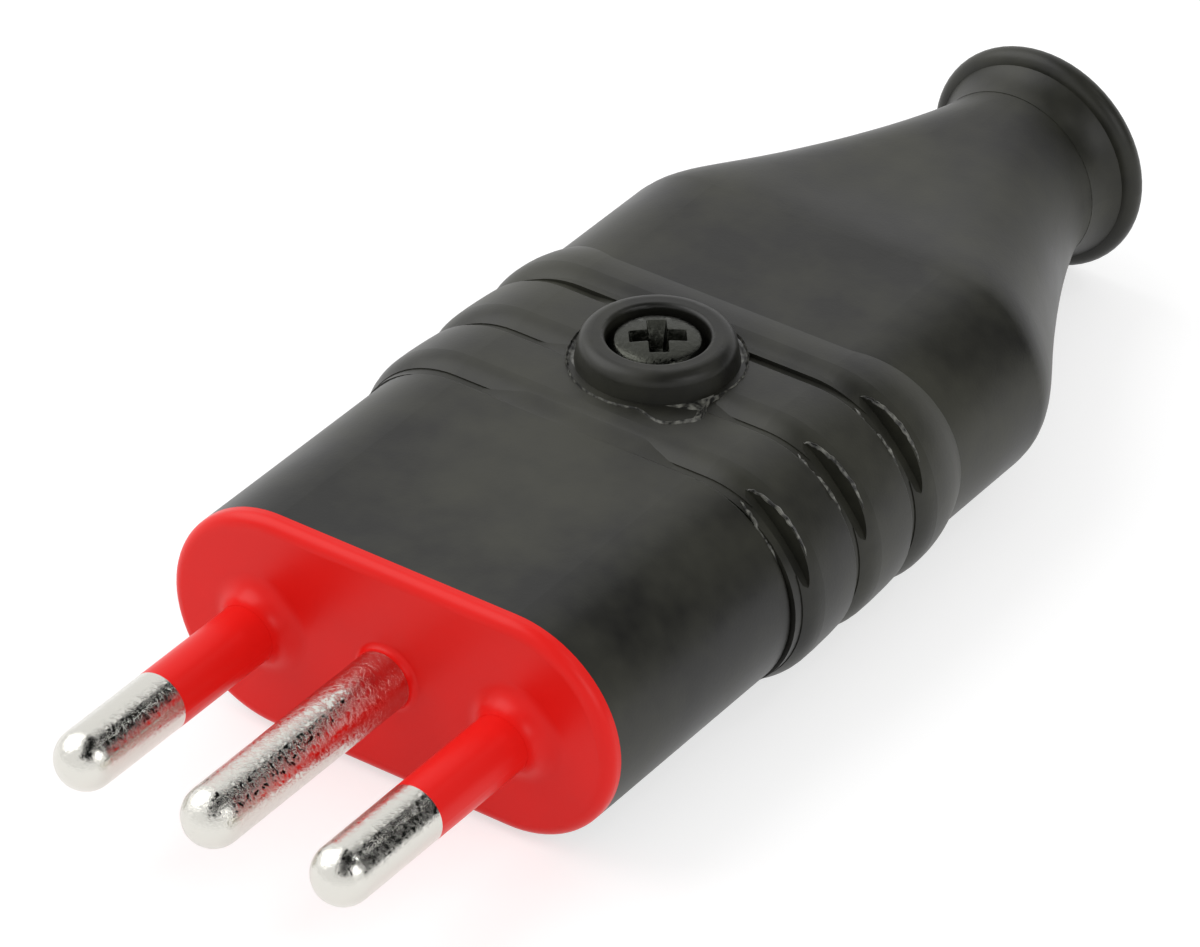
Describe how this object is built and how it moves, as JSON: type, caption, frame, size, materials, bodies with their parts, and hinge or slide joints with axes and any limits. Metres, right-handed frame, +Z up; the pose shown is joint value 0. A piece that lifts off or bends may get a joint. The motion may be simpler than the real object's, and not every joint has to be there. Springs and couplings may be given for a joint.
{
  "type": "grounded plug",
  "caption": "Rewireable round-pin grounded plug with a ribbed rubber housing, a screw collar and a tapered cord outlet with a beaded rim.",
  "frame": {"origin": "on the earth pin's axis, in the face of the pin carrier that meets the socket", "axes": "+Y from the pins to the cord outlet, +Z up through the housing screw, X across the line of pins"},
  "size_m": [0.0344, 0.0927, 0.0177],
  "materials": {
    "rubber": "satin black moulded rubber",
    "red_plastic": "red moulded insulating plastic",
    "pale_plastic": "natural moulded plastic",
    "nickel": "nickel-plated turned brass",
    "plated_steel": "bright plated steel"
  },
  "bodies": {
    "root": {"rubber_housing": "rubber", "pin_carrier": "red_plastic", "carrier_cover": "pale_plastic", "line_pin": "nickel", "neutral_pin": "nickel", "earth_pin": "nickel", "line_pin_sleeve": "red_plastic", "neutral_pin_sleeve": "red_plastic", "line_terminal_screw": "plated_steel", "neutral_terminal_screw": "plated_steel", "earth_terminal_screw": "plated_steel", "cord_clamp_bar": "pale_plastic", "cord_clamp_screw_left": "plated_steel", "cord_clamp_screw_right": "plated_steel", "housing_screw": "plated_steel", "housing_screw_nut": "plated_steel"}
  },
  "joints": []
}
